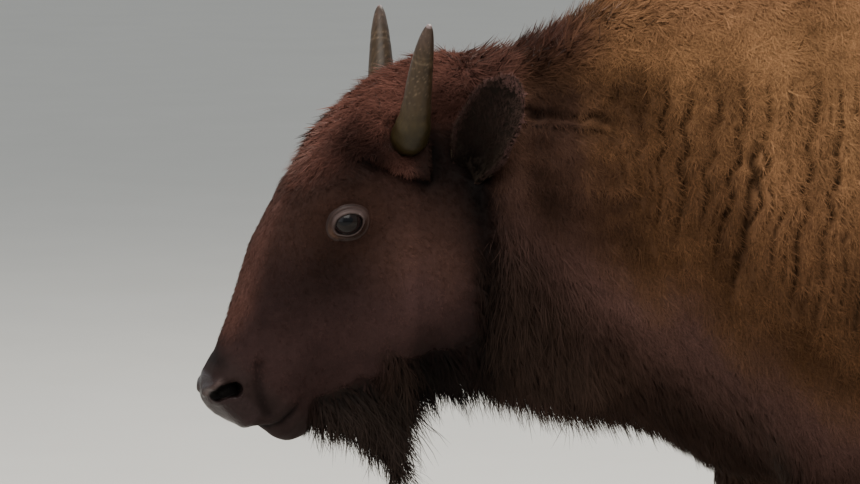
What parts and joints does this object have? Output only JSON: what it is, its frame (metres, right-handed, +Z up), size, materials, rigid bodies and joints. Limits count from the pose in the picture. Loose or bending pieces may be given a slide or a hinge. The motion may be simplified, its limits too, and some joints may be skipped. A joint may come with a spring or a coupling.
{
  "type": "american bison",
  "caption": "Life-size young American bison standing with its head lowered, a still one-piece museum-style animal model.",
  "frame": {"origin": "on the ground under the middle of the model's bounding box", "axes": "+Z up, -X the way the animal faces, -Y its left side"},
  "size_m": [2.102, 0.5584, 1.3786],
  "materials": {
    "dark_fur": "short dense dark brown fur, matt",
    "wool": "golden brown curly wool, matt",
    "beard_hair": "long black hair, matt",
    "ear_fur": "short dark fur with a paler rim, matt",
    "leg_fur": "short dark brown fur, matt",
    "nose_skin": "bare damp black skin, glossy",
    "horn": "grey-brown keratin, satin, scuffed",
    "hoof": "black horn, dull",
    "eye": "wet dark brown eye, glossy"
  },
  "bodies": {
    "root": {"barrel": "wool", "beard": "beard_hair", "chest": "wool", "claw_foreleg_inner_left": "hoof", "claw_foreleg_inner_right": "hoof", "claw_foreleg_outer_left": "hoof", "claw_foreleg_outer_right": "hoof", "claw_hindleg_inner_left": "hoof", "claw_hindleg_inner_right": "hoof", "claw_hindleg_outer_left": "hoof", "claw_hindleg_outer_right": "hoof", "ear_left": "ear_fur", "ear_right": "ear_fur", "eye_left": "eye", "eye_right": "eye", "foreleg_cannon_left": "leg_fur", "foreleg_cannon_right": "leg_fur", "foreleg_pastern_left": "leg_fur", "foreleg_pastern_right": "leg_fur", "foreleg_upper_left": "leg_fur", "foreleg_upper_right": "leg_fur", "head": "dark_fur", "hindleg_cannon_left": "leg_fur", "hindleg_cannon_right": "leg_fur", "hindleg_pastern_left": "leg_fur", "hindleg_pastern_right": "leg_fur", "hindleg_upper_left": "leg_fur", "hindleg_upper_right": "leg_fur", "horn_left": "horn", "horn_right": "horn", "neck": "dark_fur", "nose": "nose_skin", "rump": "wool", "tail": "leg_fur", "tail_tuft": "beard_hair"}
  },
  "joints": []
}
